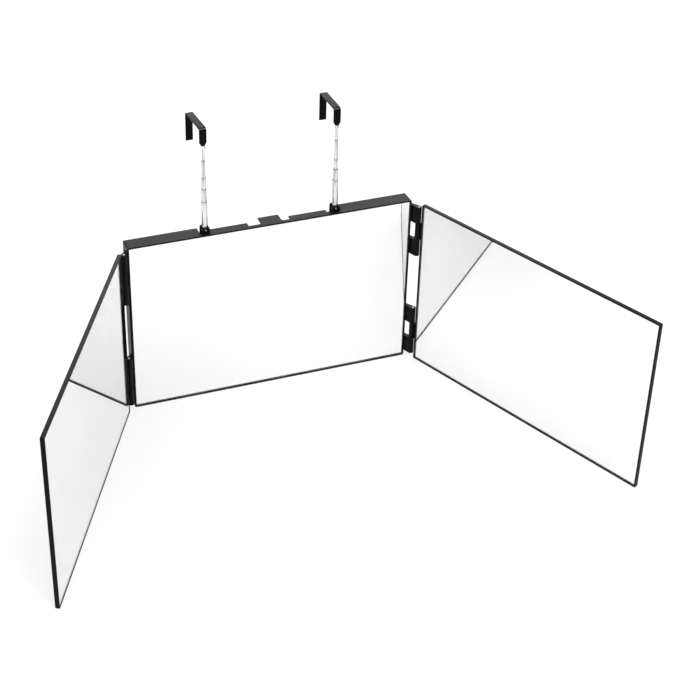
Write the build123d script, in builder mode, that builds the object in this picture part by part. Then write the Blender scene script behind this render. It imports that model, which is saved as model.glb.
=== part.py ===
from build123d import *
import os
from math import cos, radians, sin

# Three-panel folding mirror that stands by itself or hangs over a door on two
# telescopic hook rods. Millimetres. +X to the right, +Y to the back, +Z up.
# The origin is the middle of the underside of the centre tray.

os.makedirs("parts", exist_ok=True)

# ---------------------------------------------------------------- panels
panel_width = 317.0  # centre tray, over its side walls
panel_height = 200.0
tray_depth = 18.0  # front rim to open back
wing_width = 316.2
wing_drop = 2.0  # a wing's top edge under the tray's
wing_height = panel_height - wing_drop
rim = 1.3  # plastic seen around each mirror
corner_radius = 1.5
back_edge_chamfer = 0.5

glass_thickness = 2.0
glass_setback = 0.3  # rim stands proud of the glass
glass_clearance = 0.2  # glass edge to pocket wall
glass_arris = 0.4  # ground edge of the glass
tape_thickness = 0.5
tape_width = 12.0
tape_count = 5
tape_end_margin = 14.0
plate_thickness = 1.8  # moulded plate behind the glass

# ---------------------------------------------------------------- tray moulding
tray_wall = 2.0
rib_thickness = 1.6
rib_height = 3.0  # from the plate towards the open back
rib_pitch_x = 52.0
rib_columns = 5
rib_pitch_z = 50.0
rib_rows = 3

# ---------------------------------------------------------------- rod seats in the top wall
rod_x = 72.5  # rod centre from the middle of the tray
tab_half_width = 11.4  # centre tab between the two hook notches
notch_outer_x = 23.2  # hook notch runs from the tab out to here
slot_inner_x = 65.4  # rod slot runs from here
slot_outer_x = 78.6  # to here
channel_drop = 4.0  # floor of the finger channel under the top edge
slot_drop = 7.0  # floor of the rod slot under the top edge
floor_thickness = 1.8
skirt_height = 9.0  # outer side walls of the slots
notch_slant = 6.2  # slanted end of the channel beside the hook notch
tab_round = 3.0  # fillet between the tab and the front of the tray

# ---------------------------------------------------------------- wing hinges
hinge_out = {"left": 4.2, "right": 6.0}  # hinge axis outside the tray's side wall
axis_forward = {"left": 0.4, "right": 5.8}  # hinge axis in front of the rim
knuckle_radius = 3.1
knuckle_length = 20.0
hinge_end_margin = 6.0  # first knuckle from the top or bottom edge
knuckle_gap = 0.25  # between neighbouring knuckles
hinge_pin_diameter = 2.5
hinge_pin_proud = 0.4
pin_clearance = 0.05  # radial, in a knuckle that turns on its pin
fixed_pin_clearance = 0.02  # radial, in a knuckle that holds its pin
arm_root_front = {"left": 1.0, "right": 2.7}  # tray knuckle's root, from the rim
arm_root_back = 8.0
wing_edge_offset = {"left": 5.4, "right": 4.2}  # hinge axis to the wing's edge
mirror_gap = 0.8  # closed left wing to the centre mirror
wing_gap = 0.6  # closed right wing to the closed left wing
arm_inset = 0.3  # wing arm behind the wing's front face
rest_fold = {"left": 62.8, "right": 67.8}  # degrees forward of flat

# ---------------------------------------------------------------- rod pivots
pivot_rise = 2.7  # pivot axis above the tray's top edge
lug_half_width = 4.6
lug_radius = 4.9  # swing of the lug's corners about the pivot
lug_rise = 3.5  # horns of the lug above the pivot axis
horn_gap = 4.4  # between the two horns of a lug
horn_foot = 1.8  # bottom of that gap above the pivot axis
lug_thickness = 2.4
tang_thickness = 3.6
tang_radius = 3.0
pivot_pin_diameter = 2.0
pivot_pin_proud = 0.3
side_clearance = 0.1  # axial, tang to lug
tube_start = 5.2  # foot of the base tube above the pivot axis
plug_length = 4.4  # of the foot inside the base tube

# ---------------------------------------------------------------- telescopic tubes
base_tube_diameter = 6.2
base_tube_top = 33.7  # above the pivot axis
tube_wall = 0.3
nose_clearance = 0.03  # radial, section in the rolled-in nose around it
flare_clearance = 0.02  # radial, flared foot in the tube around it
flare_height = 2.0  # flared foot of a section, wider than the nose around it
flare_depth = 0.1  # radial
section_count = 4  # tubes that slide out of the base tube
collapsed_step = 0.7  # each section above its outer one when pushed in
nose_length = 1.0  # inside narrows to the nose at each tube mouth
foot_gap = 0.2  # lowest section above the foot's plug
# How far each section stands out of its outer one as drawn.
exposure = {
    "left": (14.6, 12.4, 19.8, 12.4),
    "right": (13.2, 11.2, 22.0, 12.7),
}
tip_collar_diameter = 4.6
tip_collar_length = 3.9

# ---------------------------------------------------------------- hooks
strap_width = 7.8
strap_thickness = 1.8
strap_bend_radius = 2.2  # of the strap's middle line
hook_height = 19.0  # foot of the front leg to the top of the strap
hook_gap = 39.0  # between the insides of the two legs
hook_rear_length = 32.0  # top of the strap to the end of the rear leg
hook_turn = {"left": 3.0, "right": 0.0}  # degrees, swivelled about the rod as drawn
point_width = 4.6  # blunt point at the foot of the front leg
point_height = 2.6
strap_corner = 0.8
swivel_gap = 0.1  # foot of the hook above the tip collar
stem_diameter = 2.6  # round stem that turns in the tip collar
stem_length = 3.2
stem_clearance = 0.05  # radial
crimp_depth = 0.35  # collar's mouth, closed in over the head of the stem
crimp_height = 1.0

# ---------------------------------------------------------------- worked out
sign = {"left": -1, "right": 1}
sides = ("left", "right")
panel_thickness = glass_setback + glass_thickness + tape_thickness + plate_thickness
pocket_depth = panel_thickness - plate_thickness
front_y = -tray_depth / 2
back_y = tray_depth / 2
plate_back_y = front_y + panel_thickness
cavity_depth = back_y - plate_back_y
pivot_z = panel_height + pivot_rise
lug_inner = tang_thickness / 2 + side_clearance
tube_step = 2 * (tube_wall + flare_depth + flare_clearance)
hinge_length = 3 * knuckle_length
hinge_starts = (hinge_end_margin, panel_height - hinge_end_margin - hinge_length)
closed_forward = {"left": mirror_gap, "right": mirror_gap + panel_thickness + wing_gap}


def save(part, name):
    """Label a finished piece and write it to its own file."""
    part.label = name
    export_step(part, f"parts/{name}.step")


def hinge_axis(side):
    """X and Y of a wing's hinge axis."""
    return sign[side] * (panel_width / 2 + hinge_out[side]), front_y - axis_forward[side]


def wing_directions(side):
    """Unit vectors along the wing away from the hinge, and out of its back."""
    turn = radians(rest_fold[side])
    out = Vector(sign[side] * cos(turn), -sin(turn), 0)
    back = Vector(sign[side] * sin(turn), cos(turn), 0)
    return out, back


def wing_depth(side):
    """Wing's front face behind its hinge axis, when it lies flat."""
    return closed_forward[side] - axis_forward[side]


def hinge_plane(side, height):
    """Level plane on the hinge axis: x runs out along the wing."""
    x, y = hinge_axis(side)
    return Plane(origin=(x, y, height), x_dir=wing_directions(side)[0], z_dir=(0, 0, 1))


def face_plane(panel):
    """Plane of a panel's front rim, facing its viewer, origin at its middle."""
    if panel == "centre":
        middle = (0, front_y, panel_height / 2)
        return Plane(origin=middle, x_dir=(1, 0, 0), z_dir=(0, -1, 0))
    out, back = wing_directions(panel)
    x, y = hinge_axis(panel)
    middle = Vector(x, y, wing_height / 2) + back * wing_depth(panel)
    middle += out * (wing_edge_offset[panel] + wing_width / 2)
    return Plane(origin=middle, x_dir=out * sign[panel], z_dir=back * -1)


def panel_size(panel):
    """Width and height over the rim of a panel."""
    if panel == "centre":
        return panel_width, panel_height
    return wing_width, wing_height


def cut_glass_pocket(panel):
    """Cut the pocket for glass and tape into the panel being built."""
    width, height = panel_size(panel)
    with BuildSketch(face_plane(panel)) as pocket:
        Rectangle(width - 2 * rim, height - 2 * rim)
    extrude(pocket.sketch, amount=-pocket_depth, mode=Mode.SUBTRACT)


# ================================================================ centre tray
# Open-backed moulding: glass pocket in front, ribbed cavity behind, rod seats
# along the top wall and fixed hinge knuckles down both sides.
with BuildPart() as centre_tray:
    with BuildSketch(face_plane("centre")):
        RectangleRounded(panel_width, panel_height, corner_radius)
    extrude(amount=-tray_depth)
    cut_glass_pocket("centre")
    with BuildSketch(face_plane("centre").offset(-tray_depth)):
        Rectangle(panel_width - 2 * tray_wall, panel_height - 2 * tray_wall)
    extrude(amount=cavity_depth, mode=Mode.SUBTRACT)

    # Stiffening ribs on the back of the plate. The space under the rod seats
    # stays clear for the folded hooks.
    ribs_top = rib_rows * rib_pitch_z
    with BuildSketch(face_plane("centre").offset(-panel_thickness)):
        with Locations((0, (ribs_top - panel_height) / 2)):
            with GridLocations(rib_pitch_x, 0, rib_columns, 1):
                Rectangle(rib_thickness, ribs_top)
        for row in range(1, rib_rows + 1):
            with Locations((0, row * rib_pitch_z - panel_height / 2)):
                Rectangle(panel_width - tray_wall, rib_thickness)
        Rectangle(rib_thickness, panel_height - tray_wall)
    extrude(amount=-rib_height)

    # Top wall opened from the centre tab out to the ends of both rod slots.
    with BuildSketch(Plane.XY.offset(panel_height)) as top_cut:
        for s in sign.values():
            with Locations((s * (tab_half_width + slot_outer_x) / 2, (plate_back_y + back_y) / 2)):
                Rectangle(slot_outer_x - tab_half_width, cavity_depth)
        tab_corners = top_cut.vertices().group_by(Axis.Y)[0].sort_by(lambda v: abs(v.X))[:2]
        fillet(tab_corners, tab_round)
    extrude(amount=-tray_wall, mode=Mode.SUBTRACT)

    # Sunk channel floors, slanted off beside the hook notch.
    with BuildSketch(Plane.XY.offset(panel_height - channel_drop)) as channel:
        for s in sign.values():
            with Locations((s * (notch_outer_x + slot_inner_x) / 2, (plate_back_y + back_y) / 2)):
                Rectangle(slot_inner_x - notch_outer_x, cavity_depth)
            with Locations((s * (tab_half_width + slot_inner_x) / 2, plate_back_y - plate_thickness / 2)):
                Rectangle(slot_inner_x - tab_half_width, plate_thickness)
        notch_ends = channel.vertices().filter_by(
            lambda v: abs(abs(v.X) - notch_outer_x) < 0.01 and abs(v.Y - plate_back_y) < 0.01
        )
        chamfer(notch_ends, notch_slant)
    extrude(amount=-floor_thickness)

    # Deeper floors under the rods, and the walls beside them.
    with BuildSketch(Plane.XY.offset(panel_height - slot_drop)):
        for s in sign.values():
            with Locations((s * (slot_inner_x + slot_outer_x) / 2, (plate_back_y + back_y) / 2)):
                Rectangle(slot_outer_x - slot_inner_x + 2 * rib_thickness, cavity_depth)
    extrude(amount=-floor_thickness)
    with BuildSketch(Plane.XY.offset(panel_height)):
        for s in sign.values():
            with Locations((s * (slot_outer_x + rib_thickness / 2), (plate_back_y + back_y) / 2)):
                Rectangle(rib_thickness, cavity_depth)
    extrude(amount=-skirt_height)
    step_height = slot_drop - channel_drop + floor_thickness
    with BuildSketch(Plane.XY.offset(panel_height - channel_drop)):
        for s in sign.values():
            with Locations((s * (slot_inner_x - rib_thickness / 2), (plate_back_y + back_y) / 2)):
                Rectangle(rib_thickness, cavity_depth)
    extrude(amount=-step_height)

    # Horned lugs that carry each rod's pivot pin, before and behind its foot.
    lug_foot = pivot_rise + slot_drop
    for s in sign.values():
        for lug_y in (-lug_inner - lug_thickness, lug_inner):
            with BuildSketch(Plane.XZ.offset(-lug_y)):
                with Locations((s * rod_x, pivot_z)):
                    Circle(lug_radius)
                    Rectangle(2 * lug_half_width, 2 * lug_rise, mode=Mode.INTERSECT)
                with Locations((s * rod_x, pivot_z - lug_foot / 2)):
                    Rectangle(2 * lug_half_width, lug_foot)
                with Locations((s * rod_x, pivot_z + horn_foot + lug_rise / 2)):
                    Rectangle(horn_gap, lug_rise, mode=Mode.SUBTRACT)
            extrude(amount=-lug_thickness)
        with BuildSketch(Plane.XZ.offset(lug_inner + lug_thickness)):
            with Locations((s * rod_x, pivot_z)):
                Circle(pivot_pin_diameter / 2 + fixed_pin_clearance)
        extrude(amount=-2 * (lug_inner + lug_thickness), mode=Mode.SUBTRACT)

    # Fixed hinge knuckles, two to a hinge. The right-hand ones reach further
    # forward, so that the right wing closes over the left one.
    for side in sides:
        axis_x, axis_y = hinge_axis(side)
        wall_x = sign[side] * panel_width / 2
        root_depth = arm_root_back - arm_root_front[side]
        root_y = front_y + arm_root_front[side] + root_depth / 2
        for start in hinge_starts:
            for level in (start, start + 2 * knuckle_length):
                with BuildSketch(Plane.XY.offset(level)):
                    with Locations((axis_x, axis_y)):
                        Circle(knuckle_radius)
                    with Locations((wall_x, root_y)):
                        Rectangle(tray_wall / 2, root_depth)
                    make_hull()
                extrude(amount=knuckle_length)
            with BuildSketch(Plane.XY.offset(start)):
                with Locations((axis_x, axis_y)):
                    Circle(hinge_pin_diameter / 2 + fixed_pin_clearance)
            extrude(amount=hinge_length, mode=Mode.SUBTRACT)
save(centre_tray.part, "centre_tray")


# ================================================================ wings
def wing_frame(side):
    """Wing's moulded frame, with the turning knuckle of each hinge."""
    depth = wing_depth(side)
    with BuildPart() as frame:
        with BuildSketch(face_plane(side)):
            RectangleRounded(wing_width, wing_height, corner_radius)
        extrude(amount=-panel_thickness)
        back_face = frame.faces().sort_by(Axis((0, 0, 0), wing_directions(side)[1]))[-1]
        chamfer(back_face.edges().filter_by(GeomType.LINE), back_edge_chamfer)
        cut_glass_pocket(side)
        arm_thickness = knuckle_radius - depth - arm_inset
        arm_length = wing_edge_offset[side] + rim
        for start in hinge_starts:
            level = start + knuckle_length + knuckle_gap
            with BuildSketch(hinge_plane(side, level)):
                Circle(knuckle_radius)
                with Locations((arm_length / 2, sign[side] * (knuckle_radius - arm_thickness / 2))):
                    Rectangle(arm_length, arm_thickness)
            extrude(amount=knuckle_length - 2 * knuckle_gap)
            with BuildSketch(hinge_plane(side, level)):
                Circle(hinge_pin_diameter / 2 + pin_clearance)
            extrude(amount=knuckle_length - 2 * knuckle_gap, mode=Mode.SUBTRACT)
    return frame.part


def mirror_glass(panel):
    """Silvered glass plate with a ground edge."""
    width, height = panel_size(panel)
    margin = 2 * (rim + glass_clearance)
    with BuildPart() as glass:
        with BuildSketch(face_plane(panel).offset(-glass_setback)):
            Rectangle(width - margin, height - margin)
        extrude(amount=-glass_thickness)
        toward_viewer = Axis((0, 0, 0), face_plane(panel).z_dir)
        chamfer(glass.faces().sort_by(toward_viewer)[-1].edges(), glass_arris)
    return glass.part


def foam_tape(panel):
    """Double-sided foam strips between glass and plate."""
    width, height = panel_size(panel)
    pitch = (width - 2 * tape_end_margin - tape_width) / (tape_count - 1)
    with BuildPart() as tape:
        with BuildSketch(face_plane(panel).offset(-glass_setback - glass_thickness)):
            with GridLocations(pitch, 0, tape_count, 1):
                Rectangle(tape_width, height - 2 * tape_end_margin)
        extrude(amount=-tape_thickness)
    return tape.part


for side in sides:
    save(wing_frame(side), f"{side}_wing_frame")
for panel in ("centre", "left", "right"):
    save(mirror_glass(panel), f"{panel}_mirror_glass")
    save(foam_tape(panel), f"{panel}_foam_tape")

# Steel hinge pins, held by the tray's knuckles.
for side in sides:
    for place, start in zip(("lower", "upper"), hinge_starts):
        with BuildPart() as hinge_pin:
            with BuildSketch(Plane.XY.offset(start - hinge_pin_proud)):
                with Locations(hinge_axis(side)):
                    Circle(hinge_pin_diameter / 2)
            extrude(amount=hinge_length + 2 * hinge_pin_proud)
        save(hinge_pin.part, f"{side}_{place}_hinge_pin")


# ================================================================ rods
def tube_diameter(index):
    """Outer diameter of the base tube, index 0, or of a sliding section."""
    return base_tube_diameter - index * tube_step


def section_top(side, index):
    """Height of a tube's mouth as drawn; index 0 is the base tube."""
    return pivot_z + base_tube_top + sum(exposure[side][:index])


def section_length(index):
    """Full length of a sliding section."""
    return base_tube_top + index * collapsed_step - tube_start - plug_length - foot_gap


def rod_level(side, height):
    """Level plane on a rod's axis."""
    return Plane(origin=(sign[side] * rod_x, 0, height))


def rod_profile(side, height):
    """Upright plane through a rod's axis: x is the radius, y the height."""
    return Plane(origin=(sign[side] * rod_x, 0, height), x_dir=(1, 0, 0), z_dir=(0, -1, 0))


def rod_axis(side):
    """Centre line of a rod."""
    return Axis((sign[side] * rod_x, 0, 0), (0, 0, 1))


def rod_foot(side):
    """Chrome-plated foot: flat tang with the pin hole, and a plug in the tube."""
    with BuildPart() as foot:
        with BuildSketch(Plane.XZ):
            with Locations((sign[side] * rod_x, pivot_z)):
                Circle(tang_radius)
            with Locations((sign[side] * rod_x, pivot_z + tube_start / 2)):
                Rectangle(2 * tang_radius, tube_start)
            with Locations((sign[side] * rod_x, pivot_z)):
                Circle(pivot_pin_diameter / 2 + pin_clearance, mode=Mode.SUBTRACT)
        extrude(amount=tang_thickness / 2, both=True)
        with BuildSketch(rod_level(side, pivot_z + tube_start)):
            Circle(base_tube_diameter / 2 - tube_wall - fixed_pin_clearance)
        extrude(amount=plug_length)
    return foot.part


def tube(side, index):
    """Thin tube with a rolled-in nose; a sliding one has a flared foot."""
    outer = tube_diameter(index) / 2
    inner = outer - tube_wall
    nose = tube_diameter(index + 1) / 2 + nose_clearance
    length = section_length(index) if index else base_tube_top - tube_start
    foot = [(outer + flare_depth, 0), (outer, flare_height)] if index else [(outer, 0)]
    with BuildPart() as shell:
        with BuildSketch(rod_profile(side, section_top(side, index) - length)):
            with BuildLine():
                Polyline(
                    (inner, 0),
                    *foot,
                    (outer, length),
                    (nose, length),
                    (inner, length - nose_length),
                    close=True,
                )
            make_face()
        revolve(axis=rod_axis(side))
    return shell.part


def tip_rod(side):
    """Last section: a solid rod with the collar whose mouth holds the hook."""
    index = section_count
    outer = tube_diameter(index) / 2
    length = section_length(index)
    collar = tip_collar_diameter / 2
    mouth = length + tip_collar_length
    bore = stem_diameter / 2 + stem_clearance
    with BuildPart() as rod:
        with BuildSketch(rod_profile(side, section_top(side, index) - length)):
            with BuildLine():
                Polyline(
                    (0, 0),
                    (outer + flare_depth, 0),
                    (outer, flare_height),
                    (outer, length),
                    (collar, length),
                    (collar, mouth),
                    (bore - crimp_depth, mouth),
                    (bore, mouth - crimp_height),
                    (bore, mouth - stem_length),
                    (0, mouth - stem_length),
                    close=True,
                )
            make_face()
        revolve(axis=rod_axis(side))
    return rod.part


def hook(side):
    """Bent strap with a blunt point, and the headed stem it turns on."""
    bottom = section_top(side, section_count) + tip_collar_length + swivel_gap
    top = bottom + hook_height
    half = strap_thickness / 2
    rear_y = hook_gap + strap_thickness
    with BuildPart() as strap:
        turn = radians(hook_turn[side])
        backwards = (-sin(turn), cos(turn), 0)
        sideways = (cos(turn), sin(turn), 0)
        with BuildSketch(Plane(origin=(sign[side] * rod_x, 0, 0), x_dir=backwards, z_dir=sideways)):
            with BuildLine():
                path = FilletPolyline(
                    (0, bottom),
                    (0, top - half),
                    (rear_y, top - half),
                    (rear_y, top - hook_rear_length),
                    radius=strap_bend_radius,
                )
            trace(path, strap_thickness)
        extrude(amount=strap_width / 2, both=True)
        ends = strap.faces().filter_by(Axis.Z).group_by(Axis.Z)
        rear_end = ends[0][0]
        fillet(rear_end.edges().sort_by(SortBy.LENGTH)[:2], strap_corner)
        # Blunt point at the foot of the front leg.
        front_end = ends[1][0]
        shoulder = (strap_width - point_width) / 2
        short_edges = front_end.edges().sort_by(SortBy.LENGTH)[:2]
        chamfer(short_edges, shoulder, point_height, reference=front_end)
        # Stem: a round head under a narrower neck.
        head = stem_diameter / 2
        head_top = stem_length - crimp_height - 2 * swivel_gap
        with BuildSketch(rod_profile(side, bottom - stem_length)):
            with BuildLine():
                Polyline(
                    (0, 0),
                    (head, 0),
                    (head, head_top),
                    (head - crimp_depth, head_top + crimp_height),
                    (head - crimp_depth, stem_length),
                    (0, stem_length),
                    close=True,
                )
            make_face()
        revolve(axis=rod_axis(side))
    return strap.part


for side in sides:
    save(rod_foot(side), f"{side}_rod_foot")
    save(tube(side, 0), f"{side}_base_tube")
    for index in range(1, section_count):
        save(tube(side, index), f"{side}_tube_{index + 1}")
    save(tip_rod(side), f"{side}_tip_rod")
    save(hook(side), f"{side}_door_hook")

    # Plain pivot pin through both lugs.
    with BuildPart() as pivot_pin:
        with BuildSketch(Plane.XZ):
            with Locations((sign[side] * rod_x, pivot_z)):
                Circle(pivot_pin_diameter / 2)
        extrude(amount=lug_inner + lug_thickness + pivot_pin_proud, both=True)
    save(pivot_pin.part, f"{side}_pivot_pin")
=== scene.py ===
from math import cos, pi, radians, sin

import bpy
from mathutils import Matrix, Vector


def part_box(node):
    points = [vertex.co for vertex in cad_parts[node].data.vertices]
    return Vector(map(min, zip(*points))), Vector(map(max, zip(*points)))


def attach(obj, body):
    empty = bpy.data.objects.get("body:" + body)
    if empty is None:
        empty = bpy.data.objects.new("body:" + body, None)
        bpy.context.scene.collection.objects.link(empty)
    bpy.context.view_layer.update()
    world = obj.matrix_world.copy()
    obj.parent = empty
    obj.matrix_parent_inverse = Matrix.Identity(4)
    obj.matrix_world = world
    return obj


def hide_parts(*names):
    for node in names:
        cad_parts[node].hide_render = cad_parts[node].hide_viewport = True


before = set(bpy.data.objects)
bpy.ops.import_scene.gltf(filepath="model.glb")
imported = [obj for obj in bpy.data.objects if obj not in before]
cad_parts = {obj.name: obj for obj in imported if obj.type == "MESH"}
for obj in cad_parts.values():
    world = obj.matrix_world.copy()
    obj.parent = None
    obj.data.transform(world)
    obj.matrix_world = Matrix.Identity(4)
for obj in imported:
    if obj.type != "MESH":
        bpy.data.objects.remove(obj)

# Folding vanity mirror: three framed mirrors on pin hinges, with two telescopic
# rods and strap hooks in the top of the centre tray. Sizes are in millimetres,
# and MM turns them to metres. The origin is at the foot of the tray, midway between
# the rods.
MM = 0.001
sides = ("left", "right")

# ---------------------------------------------------------------- sizes
turn_steps = 64  # sides of a turned piece
crease_angle = 35.0  # degrees; an edge that turns more stays sharp or is rounded
flat_angle = 0.5  # degrees, most turn between triangles of one whole face
weld_turned = 0.001  # joins the ends of a turned outline where they meet
weld_copied = 0.002  # joins the loose corners of a copied node
mould_radius = 0.18  # left by the mould on outer edges
foot_radius = 0.25  # polished edges under the chrome
tape_squeeze = 0.03  # keeps the silver clear of the tape behind it

strap_width = 7.8
strap_thickness = 1.8
strap_radius = 0.35  # tumbled edges under the paint
strap_crease = 50.0  # degrees; the same, for the strap
strap_bend = 2.2  # of the strap's middle line
bend_steps = 10
hook_height = 19.0  # foot of the front leg to the top of the strap
hook_gap = 39.0  # between the insides of the two legs
hook_rear_length = 32.0
hook_turn = {"left": 3.0, "right": 0.0}  # degrees, swivelled about the rod
highlight_from = 0.55  # least slope, up and outwards, of the painted highlight at a bend
rod_x = {"left": -72.5, "right": 72.5}
point_width = 4.6  # foot of the front leg, where it tapers to the stem
point_height = 2.6
stem_radius = 0.95
stem_length = 3.1  # below the foot of the front leg
stem_overlap = 0.4  # up inside the strap

tube_wall = 0.3
flare_depth = 0.1
flare_height = 2.0
mouth_round = 0.2  # rolled lip of each chrome tube
mouth_steps = 4  # round the rolled lip
lip_wall = 0.39  # more than the tube's, as the lip closes on the next section
lip_length = 0.25
nose_length = 1.0  # mouth to where the bore has its full width
crimp_below = 1.2  # crimp ring under the lip
crimp_width = 0.6  # with a flat floor a third as wide
crimp_depth = 0.1
tip_radius = 1.42
collar_radius = 2.3
collar_length = 3.9
collar_waist = (  # inset and height above the shoulder: chamfer, then a groove
    (0.3, 0.0), (0.0, 0.3), (0.0, 0.9), (0.14, 1.05), (0.14, 1.35), (0.0, 1.5),
)
collar_crown = ((0.0, 0.5), (0.15, 0.15), (0.5, 0.0))  # inset and depth below the mouth
collar_bore = 1.35
collar_lip = 0.35  # turned in over the hook's stem
collar_lip_length = 1.0
collar_bore_depth = 3.2

pin_dome = ((0.45, 0.0), (0.8, 0.0875), (1.0, 0.35))  # radii of the pin, depth from its end

noise_low, noise_high = 0.3, 0.7  # most of a noise pattern lies between these
streak_and_reflection_low, streak_and_reflection_high = 0.38, 0.62  # a narrower band, for crisper draw lines that are partly a painted reflection
streak_and_reflection_squash = 0.015  # rate of change along a tube against that across it
second_finish = 1  # slot of a finish added to a piece that has one
front_finish, back_finish, edge_finish = range(3)  # slots of a mirror's glass

floor_reach = 9.0  # metres
floor_sides = 96
paper_glow = 0.6  # added to the lit paper, which makes it white to the eye
room_light = 0.5  # of the white surroundings, as light on the object
camera_place = (-506.5, -1436.1, 1055.2)
camera_turn = 19.54  # degrees from +Y towards +X
camera_tilt = 33.5  # degrees below level
camera_roll = 0.26  # degrees
focal_pixels = 1652.0  # focal length
frame_pixels = 700.0  # side of the square frame
middle_pixel = (272.7, 340.8)  # where the lens's axis meets the frame

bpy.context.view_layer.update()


# ================================================================ materials
def linear(code):
    """sRGB hex to linear RGBA."""
    parts = [int(code[i : i + 2], 16) / 255 for i in (1, 3, 5)]
    return (*[p / 12.92 if p <= 0.04045 else ((p + 0.055) / 1.055) ** 2.4 for p in parts], 1.0)


def add_node(tree, kind, links=None, ramp=(), **settings):
    """Add a node, set its settings and plain sockets, link its inputs, and give
    a colour ramp its two stops. A link from a node is from its first output."""
    made = tree.nodes.new(kind)
    for name, value in settings.items():
        if hasattr(made, name):
            setattr(made, name, value)
        else:
            made.inputs[name.replace("_", " ")].default_value = value
    for name, source in (links or {}).items():
        if hasattr(source, "outputs"):
            source = source.outputs[0]
        tree.links.new(source, made.inputs[name])
    for number, (position, code) in enumerate(ramp):
        made.color_ramp.elements[number].position = position
        made.color_ramp.elements[number].color = linear(code)
    return made


def blank_material(name):
    """New material with no nodes, and where its object's own coordinates are."""
    made = bpy.data.materials.new(name)
    made.use_nodes = True
    tree = made.node_tree
    tree.nodes.clear()
    return made, tree, add_node(tree, "ShaderNodeTexCoord").outputs["Object"]


def pattern_scale(size):
    """Pattern scale whose features are about size millimetres across."""
    return 1 / (size * MM)


def moulded_abs(name, dark, pale, gloss):
    """Black ABS moulded in a spark-eroded tool: a satin skin whose fine even
    grain breaks up the shine, with slow changes of gloss where the melt flowed.
    The grain is drawn at 0.4 mm, coarser than real, so that it shows."""
    made, tree, place = blank_material(name)
    grain = add_node(
        tree, "ShaderNodeTexNoise", {"Vector": place}, Scale=pattern_scale(0.4), Detail=3.0
    )
    flow = add_node(
        tree, "ShaderNodeTexNoise", {"Vector": place}, Scale=pattern_scale(40), Detail=4.0
    )
    tone = add_node(
        tree, "ShaderNodeValToRGB", {"Fac": flow}, ramp=((noise_low, dark), (noise_high, pale))
    )
    dullness = add_node(
        tree, "ShaderNodeMapRange", {"Value": flow}, To_Min=gloss - 0.06, To_Max=gloss + 0.08
    )
    relief = add_node(
        tree, "ShaderNodeBump", {"Height": grain}, Strength=0.4, Distance=0.05 * MM
    )
    skin = add_node(
        tree, "ShaderNodeBsdfPrincipled",
        {"Base Color": tone, "Roughness": dullness, "Normal": relief},
        IOR=1.5, Specular_IOR_Level=0.1,
    )
    add_node(tree, "ShaderNodeOutputMaterial", {"Surface": skin})
    return made


def powder_coat(name, dark, pale):
    """Polyester powder coat on bent strap: low orange-peel waves about a
    millimetre across, under a fine dry grain."""
    made, tree, place = blank_material(name)
    peel = add_node(
        tree, "ShaderNodeTexNoise", {"Vector": place}, Scale=pattern_scale(1.1), Detail=1.0
    )
    dry = add_node(
        tree, "ShaderNodeTexNoise", {"Vector": place}, Scale=pattern_scale(0.3), Detail=2.0
    )
    tone = add_node(
        tree, "ShaderNodeValToRGB", {"Fac": peel}, ramp=((noise_low, dark), (noise_high, pale))
    )
    dullness = add_node(
        tree, "ShaderNodeMapRange", {"Value": dry}, To_Min=0.30, To_Max=0.44
    )
    waves = add_node(tree, "ShaderNodeBump", {"Height": peel}, Strength=0.5, Distance=0.08 * MM)
    relief = add_node(
        tree, "ShaderNodeBump", {"Height": dry, "Normal": waves},
        Strength=0.4, Distance=0.03 * MM,
    )
    skin = add_node(
        tree, "ShaderNodeBsdfPrincipled",
        {"Base Color": tone, "Roughness": dullness, "Normal": relief},
        IOR=1.5, Specular_IOR_Level=0.065,
    )
    add_node(tree, "ShaderNodeOutputMaterial", {"Surface": skin})
    return made


def clear_glass():
    """Float glass: clear and very slightly green, polished on its front, with a
    breath of dust that softens it in places."""
    made, tree, place = blank_material("clear_float_glass")
    dust = add_node(
        tree, "ShaderNodeTexNoise", {"Vector": place}, Scale=pattern_scale(60), Detail=6.0
    )
    tone = add_node(
        tree, "ShaderNodeValToRGB", {"Fac": dust},
        ramp=((noise_low, "#fefefe"), (noise_high, "#fcfdfc")),
    )
    haze = add_node(
        tree, "ShaderNodeMapRange", {"Value": dust},
        From_Min=0.55, From_Max=0.8, To_Min=0.0, To_Max=0.01,
    )
    skin = add_node(
        tree, "ShaderNodeBsdfPrincipled", {"Base Color": tone, "Roughness": haze},
        IOR=1.52, Transmission_Weight=1.0,
    )
    add_node(tree, "ShaderNodeOutputMaterial", {"Surface": skin})
    return made


def silvering():
    """Silver laid on the back of the glass: an even bright mirror whose tone
    drifts a little over the sheet."""
    made, tree, place = blank_material("silvered_back")
    drift = add_node(
        tree, "ShaderNodeTexNoise", {"Vector": place}, Scale=pattern_scale(90), Detail=3.0
    )
    tone = add_node(
        tree, "ShaderNodeValToRGB", {"Fac": drift},
        ramp=((noise_low, "#f8f8f8"), (noise_high, "#fbfbfb")),
    )
    skin = add_node(
        tree, "ShaderNodeBsdfPrincipled", {"Base Color": tone}, Metallic=1.0, Roughness=0.0
    )
    add_node(tree, "ShaderNodeOutputMaterial", {"Surface": skin})
    return made


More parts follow.
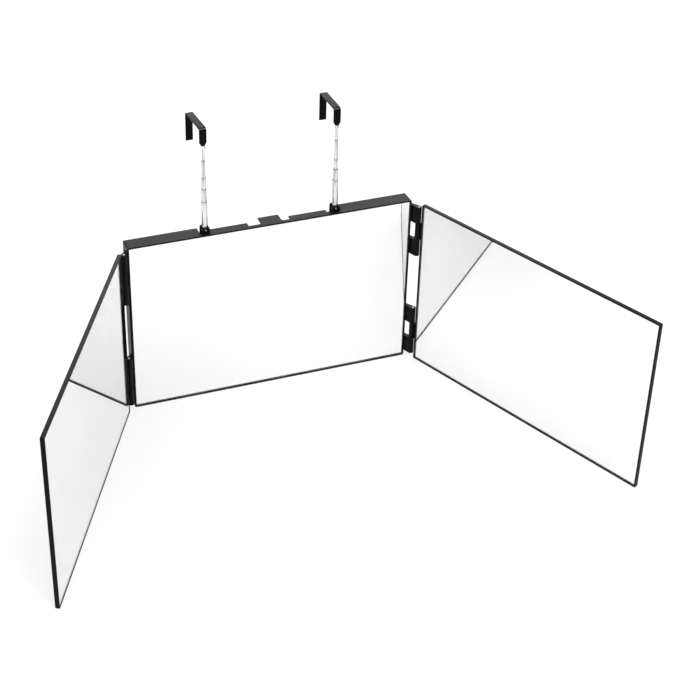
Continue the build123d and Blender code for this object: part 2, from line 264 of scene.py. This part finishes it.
def ground_edge():
    """Edge of the glass, ground with a fine wheel: matt, dark green-grey against
    the black frame, with grinding marks a quarter of a millimetre apart."""
    made, tree, place = blank_material("ground_glass_edge")
    marks = add_node(
        tree, "ShaderNodeTexNoise", {"Vector": place}, Scale=pattern_scale(0.25), Detail=3.0
    )
    tone = add_node(
        tree, "ShaderNodeValToRGB", {"Fac": marks},
        ramp=((noise_low, "#1c2421"), (noise_high, "#3a4642")),
    )
    dullness = add_node(
        tree, "ShaderNodeMapRange", {"Value": marks}, To_Min=0.45, To_Max=0.7
    )
    skin = add_node(
        tree, "ShaderNodeBsdfPrincipled", {"Base Color": tone, "Roughness": dullness}, IOR=1.52
    )
    add_node(tree, "ShaderNodeOutputMaterial", {"Surface": skin})
    return made


def bright_chrome(name, dark, pale):
    """Chromium plate on drawn tube: a hard neutral mirror that darkens towards
    its edges, with lines along the tube where it was drawn and polished, drawn
    a millimetre apart so that they show; their strong dark-to-pale contrast is
    also a painted reflection, of dark surroundings that the white studio lacks."""
    made, tree, place = blank_material(name)
    along = add_node(tree, "ShaderNodeMapping", {"Vector": place}, Scale=(1.0, 1.0, streak_and_reflection_squash))
    streaks_and_reflection = add_node(
        tree, "ShaderNodeTexNoise", {"Vector": along}, Scale=pattern_scale(1.0), Detail=2.0
    )
    # painted reflection: dark and pale lines in strong contrast stand in for dark surroundings
    # mirrored in the chrome
    tone = add_node(
        tree, "ShaderNodeValToRGB", {"Fac": streaks_and_reflection}, ramp=((streak_and_reflection_low, dark), (streak_and_reflection_high, pale))
    )
    polish = add_node(
        tree, "ShaderNodeMapRange", {"Value": streaks_and_reflection}, To_Min=0.03, To_Max=0.11
    )
    skin = add_node(
        tree, "ShaderNodeBsdfPrincipled", {"Base Color": tone, "Roughness": polish},
        Metallic=1.0, Specular_Tint=linear("#000000"),
    )
    add_node(tree, "ShaderNodeOutputMaterial", {"Surface": skin})
    return made


def zinc_plate():
    """Zinc-plated mild steel: a grey metal, slightly mottled and dull."""
    made, tree, place = blank_material("zinc_plated_steel")
    mottle = add_node(
        tree, "ShaderNodeTexNoise", {"Vector": place}, Scale=pattern_scale(0.8), Detail=3.0
    )
    tone = add_node(
        tree, "ShaderNodeValToRGB", {"Fac": mottle},
        ramp=((noise_low, "#7c7e80"), (noise_high, "#a5a7a9")),
    )
    dullness = add_node(
        tree, "ShaderNodeMapRange", {"Value": mottle}, To_Min=0.2, To_Max=0.4
    )
    skin = add_node(
        tree, "ShaderNodeBsdfPrincipled", {"Base Color": tone, "Roughness": dullness},
        Metallic=1.0,
    )
    add_node(tree, "ShaderNodeOutputMaterial", {"Surface": skin})
    return made


def tape_foam():
    """Closed-cell polyethylene foam tape: off-white and matt, with cells about
    a third of a millimetre across."""
    made, tree, place = blank_material("polyethylene_foam_tape")
    cells = add_node(
        tree, "ShaderNodeTexVoronoi", {"Vector": place}, Scale=pattern_scale(0.35)
    )
    tone = add_node(
        tree, "ShaderNodeValToRGB", {"Fac": cells},
        ramp=((noise_low, "#c6c5c1"), (noise_high, "#e4e3df")),
    )
    relief = add_node(
        tree, "ShaderNodeBump", {"Height": cells}, Strength=0.5, Distance=0.08 * MM
    )
    skin = add_node(
        tree, "ShaderNodeBsdfPrincipled", {"Base Color": tone, "Normal": relief}, Roughness=0.85
    )
    add_node(tree, "ShaderNodeOutputMaterial", {"Surface": skin})
    return made


tray_plastic = moulded_abs("moulded_abs_tray", "#050506", "#0c0c0d", 0.40)
wing_plastic = moulded_abs("moulded_abs_wing", "#050506", "#0b0b0c", 0.37)
glass_sides = (clear_glass(), silvering(), ground_edge())
# tube tones: the dark lines are partly a painted reflection
chrome = bright_chrome("bright_chrome_plate", "#b4b5b7", "#eeeeee")
# painted shade for each crimp ring and rolled lip
groove_shade_chrome = bright_chrome("chrome_with_painted_groove_shade", "#2c2c2e", "#5a5a5c")
strap_paint = powder_coat("polyester_powder_coat", "#050506", "#0b0b0c")
# painted highlight across the outside of each bend of the strap
bend_highlight_paint = powder_coat("powder_coat_painted_bend_highlight", "#343436", "#828284")
zinc = zinc_plate()
foam = tape_foam()


# ================================================================ modelling
def clear_selection():
    """Leave edit mode and select nothing."""
    if bpy.context.object and bpy.context.object.mode != "OBJECT":
        bpy.ops.object.mode_set(mode="OBJECT")
    bpy.ops.object.select_all(action="DESELECT")


def dress(piece, material):
    """Give a piece one material."""
    piece.data.materials.clear()
    piece.data.materials.append(material)


def finished(name, material, middle=(0, 0, 0), turned=(0, 0, 0)):
    """Close up the mesh being edited, set the piece in place, and smooth it."""
    bpy.ops.mesh.select_all(action="SELECT")
    bpy.ops.mesh.remove_doubles(threshold=weld_turned * MM)
    bpy.ops.mesh.normals_make_consistent(inside=False)
    bpy.ops.object.mode_set(mode="OBJECT")
    piece = bpy.context.object
    piece.name = name
    piece.data.name = name
    bpy.ops.object.transform_apply(location=True, rotation=True, scale=True)
    piece.rotation_euler = turned
    piece.location = [value * MM for value in middle]
    bpy.ops.object.transform_apply(location=True, rotation=True, scale=True)
    bpy.ops.object.shade_smooth_by_angle(angle=radians(crease_angle))
    dress(piece, material)
    return piece


def turn(name, material, middle, outline, bored=False, turned=(0, 0, 0)):
    """Turned piece. outline is (radius, height) from the foot up; a bored one
    runs on down the inside and back to where it began."""
    clear_selection()
    radius, height = outline[0]
    bpy.ops.mesh.primitive_circle_add(
        vertices=turn_steps,
        radius=radius * MM,
        fill_type="NOTHING" if bored else "NGON",
        location=(0, 0, height * MM),
    )
    bpy.ops.object.mode_set(mode="EDIT")
    bpy.ops.mesh.select_mode(type="VERT")
    for next_radius, next_height in outline[1:]:
        rise = (next_height - height) * MM
        scale = next_radius / radius
        bpy.ops.mesh.extrude_region_move(TRANSFORM_OT_translate={"value": (0, 0, rise)})
        bpy.ops.transform.resize(value=(scale, scale, 1), center_override=(0, 0, 0))
        radius, height = next_radius, next_height
    return finished(name, material, middle, turned)


def soften(piece, radius, steps=2, angle=crease_angle):
    """Round a piece's sharp edges for good."""
    clear_selection()
    bpy.context.view_layer.objects.active = piece
    piece.select_set(True)
    bpy.ops.object.shade_smooth_by_angle(angle=radians(angle))
    rounding = piece.modifiers.new("rounding", "BEVEL")
    rounding.width = radius * MM
    rounding.segments = steps
    rounding.limit_method = "ANGLE"
    rounding.angle_limit = radians(angle)
    rounding.use_clamp_overlap = False
    rounding.harden_normals = True
    bpy.ops.object.modifier_apply(modifier=rounding.name)


def whole_faces(node, name):
    """Copy of a CAD node with its loose triangles joined into whole faces."""
    clear_selection()
    piece = bpy.data.objects.new(name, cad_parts[node].data.copy())
    bpy.context.scene.collection.objects.link(piece)
    bpy.context.view_layer.objects.active = piece
    piece.select_set(True)
    bpy.ops.mesh.customdata_custom_splitnormals_clear()
    bpy.ops.object.mode_set(mode="EDIT")
    bpy.ops.mesh.select_all(action="SELECT")
    bpy.ops.mesh.remove_doubles(threshold=weld_copied * MM)
    bpy.ops.mesh.dissolve_limited(angle_limit=radians(flat_angle))
    bpy.ops.object.mode_set(mode="OBJECT")
    return piece


def box_of(node):
    """Lowest and highest corner of a node, and its middle in X and Y."""
    low, high = (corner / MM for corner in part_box(node))
    return low, high, ((low.x + high.x) / 2, (low.y + high.y) / 2)


# ---------------------------------------------------------------- mouldings and glass
def softened(node, name, material, body, radius):
    """A node's shape again, with the small rounds its edges really have."""
    piece = whole_faces(node, name)
    soften(piece, radius)
    dress(piece, material)
    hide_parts(node)
    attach(piece, body)


softened(
    "centre_tray", "centre_tray_moulding", tray_plastic,
    "centre", mould_radius,
)
for side in sides:
    softened(
        f"{side}_wing_frame", f"{side}_wing_moulding", wing_plastic,
        f"{side}_wing", mould_radius,
    )
    softened(
        f"{side}_rod_foot", f"{side}_rod_foot_plated", chrome,
        f"{side}_rod", foot_radius,
    )


def silvered_plate(panel, body):
    """Glass plate: clear front, ground edges, and a silvered back that is set in
    a little, off the tape."""
    node = f"{panel}_mirror_glass"
    piece = whole_faces(node, f"{node}_silvered")
    piece.data.materials.clear()
    for material in glass_sides:
        piece.data.materials.append(material)
    largest = max(face.area for face in piece.data.polygons)
    for face in piece.data.polygons:
        if face.area < largest / 2:
            face.material_index = edge_finish
        else:
            face.material_index = front_finish if face.normal.y < 0 else back_finish
        face.select = face.material_index == back_finish
        face.use_smooth = False
    bpy.ops.object.mode_set(mode="EDIT")
    bpy.ops.mesh.select_mode(type="FACE")
    bpy.ops.transform.shrink_fatten(value=-tape_squeeze * MM)
    bpy.ops.object.mode_set(mode="OBJECT")
    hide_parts(node)
    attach(piece, body)


silvered_plate("centre", "centre")
for side in sides:
    silvered_plate(side, f"{side}_wing")


# ---------------------------------------------------------------- chrome rods
def rolled_mouth(outer, length):
    """Crimp ring and rolled lip at the top of a tube's outside."""
    middle = length - crimp_below
    points = [
        (outer, middle - crimp_width / 2),
        (outer - crimp_depth, middle - crimp_width / 6),
        (outer - crimp_depth, middle + crimp_width / 6),
        (outer, middle + crimp_width / 2),
    ]
    for step in range(mouth_steps + 1):
        angle = pi / 2 * step / mouth_steps
        inward = mouth_round * (1 - cos(angle))
        points.append((outer - inward, length - mouth_round * (1 - sin(angle))))
    return points


def paint_groove_shade(piece, middle, radius, mouth):
    """Painted shade: darker chrome in the crimp ring and round the lip of a mouth."""
    piece.data.materials.append(groove_shade_chrome)
    axis = Vector((*middle, 0)) * MM
    for face in piece.data.polygons:
        reach = (face.center - axis).xy.length / MM
        depth = mouth - face.center.z / MM
        outside = face.normal.xy.dot((face.center - axis).xy) > 0
        if outside and reach < radius and depth < crimp_below + crimp_width:
            face.material_index = second_finish


def chrome_tube(node, slides):
    """Drawn tube with a rolled mouth; one that slides has a flared foot."""
    low, high, middle = box_of(node)
    length = high.z - low.z
    flare = flare_depth if slides else 0.0
    outer = (high.x - low.x) / 2 - flare
    inner = outer - tube_wall
    lip = outer - lip_wall
    outline = [
        (outer + flare, 0),
        (outer, flare_height),
        *rolled_mouth(outer, length),
        (lip, length),
        (lip, length - lip_length),
        (inner, length - nose_length),
        (inner, 0),
        (outer + flare, 0),
    ]
    piece = turn(f"{node}_plated", chrome, (*middle, low.z), outline, bored=True)
    paint_groove_shade(piece, middle, outer - crimp_depth / 2, high.z)
    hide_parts(node)
    return piece


def plated_tip(side):
    """Thinnest section: a solid rod with a turned collar that holds the hook."""
    node = f"{side}_tip_rod"
    low, high, middle = box_of(node)
    mouth = high.z - low.z
    shoulder = mouth - collar_length
    outline = [
        (tip_radius, 0),
        (tip_radius, shoulder),
        *[(collar_radius - inset, shoulder + height) for inset, height in collar_waist],
        *[(collar_radius - inset, mouth - depth) for inset, depth in collar_crown],
        (collar_bore - collar_lip, mouth),
        (collar_bore, mouth - collar_lip_length),
        (collar_bore, mouth - collar_bore_depth),
    ]
    piece = turn(f"{node}_plated", chrome, (*middle, low.z), outline)
    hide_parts(node)
    return piece


rod_bodies = {
    "base_tube": "rod",
    "tube_2": "section_2",
    "tube_3": "section_3",
    "tube_4": "section_4",
}
for side in sides:
    for tube, body in rod_bodies.items():
        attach(chrome_tube(f"{side}_{tube}", tube != "base_tube"), f"{side}_{body}")
    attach(plated_tip(side), f"{side}_tip")


# ---------------------------------------------------------------- door hooks
def push(x=0.0, y=0.0, z=0.0):
    """Extrude what is selected by so many millimetres."""
    bpy.ops.mesh.extrude_region_move(
        TRANSFORM_OT_translate={"value": (x * MM, y * MM, z * MM)}
    )


def quarter_bend(y, z):
    """Bend what is selected through a quarter turn about a line along X."""
    bpy.ops.mesh.spin(
        steps=bend_steps, angle=pi / 2, axis=(1, 0, 0), center=(0, y * MM, z * MM)
    )


def paint_bend_highlights(piece):
    """Painted highlight: paler paint across the outside of each bend, where the bend catches the
    light.
    """
    piece.data.materials.append(bend_highlight_paint)
    for face in piece.data.polygons:
        if face.normal.z > highlight_from and abs(face.normal.y) > highlight_from:
            face.material_index = second_finish


def painted_hook(side):
    """Strap bent over the door: pointed front leg, flat top, long rear leg."""
    node = f"{side}_door_hook"
    top = box_of(node)[1].z
    foot = top - hook_height
    bend_z = top - strap_thickness / 2 - strap_bend
    rear_y = hook_gap + strap_thickness
    foot_place = Vector((0, 0, foot)) * MM
    clear_selection()
    bpy.ops.mesh.primitive_plane_add(size=1, location=foot_place)
    bpy.ops.object.mode_set(mode="EDIT")
    bpy.ops.transform.resize(
        value=(point_width * MM, strap_thickness * MM, 1), center_override=foot_place
    )
    push(z=point_height)
    bpy.ops.transform.resize(
        value=(strap_width / point_width, 1, 1), center_override=foot_place
    )
    push(z=bend_z - foot - point_height)
    quarter_bend(strap_bend, bend_z)
    push(y=rear_y - 2 * strap_bend)
    quarter_bend(rear_y - strap_bend, bend_z)
    push(z=top - hook_rear_length - bend_z)
    place = (rod_x[side], 0, 0)
    turned = (0, 0, radians(hook_turn[side]))
    piece = finished(f"{node}_painted", strap_paint, place, turned)
    soften(piece, strap_radius, steps=3, angle=strap_crease)
    paint_bend_highlights(piece)
    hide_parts(node)
    stem_outline = [(stem_radius, foot - stem_length), (stem_radius, foot + stem_overlap)]
    stem = turn(f"{node}_stem", strap_paint, place, stem_outline)
    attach(stem, f"{side}_hook")
    return piece


for side in sides:
    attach(painted_hook(side), f"{side}_hook")


# ---------------------------------------------------------------- pins
def domed_pin(node, turned=(0, 0, 0)):
    """Zinc-plated pin with a low dome on both ends."""
    low, high = (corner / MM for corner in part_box(node))
    middle = (low + high) / 2
    length, radius = max(high - low), min(high - low) / 2
    foot = [(radius * share, depth - length / 2) for share, depth in pin_dome]
    head = [(radius * share, length / 2 - depth) for share, depth in reversed(pin_dome)]
    pin = turn(f"{node}_domed", zinc, middle, foot + head, turned=turned)
    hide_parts(node)
    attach(pin, "centre")


for side in sides:
    for place in ("lower", "upper"):
        domed_pin(f"{side}_{place}_hinge_pin")
    domed_pin(f"{side}_pivot_pin", turned=(pi / 2, 0, 0))


# ================================================================ finishes on the frame
for panel in ("centre", *sides):
    dress(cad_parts[f"{panel}_foam_tape"], foam)


# ================================================================ floor, light, camera
def seen_straight(tree):
    """1 for what the eye, a mirror or clear glass sees, and 0 for light."""
    ray = add_node(tree, "ShaderNodeLightPath")
    direct = add_node(
        tree, "ShaderNodeMath",
        {0: ray.outputs["Is Camera Ray"], 1: ray.outputs["Is Glossy Ray"]},
        operation="MAXIMUM",
    )
    return add_node(
        tree, "ShaderNodeMath", {0: direct, 1: ray.outputs["Is Transmission Ray"]},
        operation="MAXIMUM",
    )


def floor_paper():
    """White seamless paper. Seen straight or in a mirror it is white, and it
    keeps the shadow that falls on it."""
    made, tree, place = blank_material("seamless_paper")
    pulp = add_node(
        tree, "ShaderNodeTexNoise", {"Vector": place}, Scale=pattern_scale(3.0), Detail=4.0
    )
    tone = add_node(
        tree, "ShaderNodeValToRGB", {"Fac": pulp},
        ramp=((noise_low, "#bcbcbc"), (noise_high, "#c1c1c1")),
    )
    paper = add_node(tree, "ShaderNodeBsdfDiffuse", {"Color": tone})
    glow = add_node(
        tree, "ShaderNodeMapRange", {"Value": seen_straight(tree)}, To_Max=paper_glow
    )
    white = add_node(
        tree, "ShaderNodeEmission", {"Strength": glow}, Color=linear("#ffffff")
    )
    both = add_node(tree, "ShaderNodeAddShader", {0: paper, 1: white})
    add_node(tree, "ShaderNodeOutputMaterial", {"Surface": both})
    return made


clear_selection()
bpy.ops.mesh.primitive_circle_add(vertices=floor_sides, radius=floor_reach, fill_type="NGON")
floor = bpy.context.object
floor.name = "floor"
dress(floor, floor_paper())


def studio_world():
    """White surroundings: white to the eye and in reflections, softer as light."""
    world = bpy.data.worlds.new("white_studio")
    world.use_nodes = True
    tree = world.node_tree
    tree.nodes.clear()
    strength = add_node(
        tree, "ShaderNodeMapRange", {"Value": seen_straight(tree)}, To_Min=room_light
    )
    background = add_node(
        tree, "ShaderNodeBackground", {"Strength": strength}, Color=linear("#ffffff")
    )
    add_node(tree, "ShaderNodeOutputWorld", {"Surface": background})
    bpy.context.scene.world = world


def soft_box(name, place, target, size, power):
    """Square soft box that faces the target, in metres and watts."""
    light = bpy.data.lights.new(name, "AREA")
    light.shape = "SQUARE"
    light.size = size
    light.energy = power
    lamp = bpy.data.objects.new(name, light)
    bpy.context.scene.collection.objects.link(lamp)
    lamp.location = place
    lamp.rotation_euler = (Vector(target) - Vector(place)).to_track_quat("-Z", "Y").to_euler()


studio_world()
soft_box("key_box", (0.5, -1.3, 2.2), (0, -0.1, 0.1), 1.6, 25)
soft_box("fill_box", (-1.5, -0.6, 2.0), (0, -0.1, 0.1), 1.4, 16)
soft_box("back_box", (0.6, 1.75, 1.35), (0, 0, 0.15), 1.5, 16)

lens = bpy.data.cameras.new("camera")
lens.sensor_width = 36.0
lens.lens = focal_pixels * lens.sensor_width / frame_pixels
lens.shift_x = 0.5 - middle_pixel[0] / frame_pixels
lens.shift_y = middle_pixel[1] / frame_pixels - 0.5
lens.clip_start = 0.05
lens.clip_end = 50
camera = bpy.data.objects.new("camera", lens)
bpy.context.scene.collection.objects.link(camera)
aim = (
    Matrix.Translation(Vector(camera_place) * MM)
    @ Matrix.Rotation(radians(-camera_turn), 4, "Z")
    @ Matrix.Rotation(radians(90 - camera_tilt), 4, "X")
    @ Matrix.Rotation(radians(camera_roll), 4, "Z")
)
camera.location = aim.to_translation()
camera.rotation_euler = aim.to_euler()
bpy.context.scene.camera = camera
bpy.context.scene.view_settings.view_transform = "Standard"
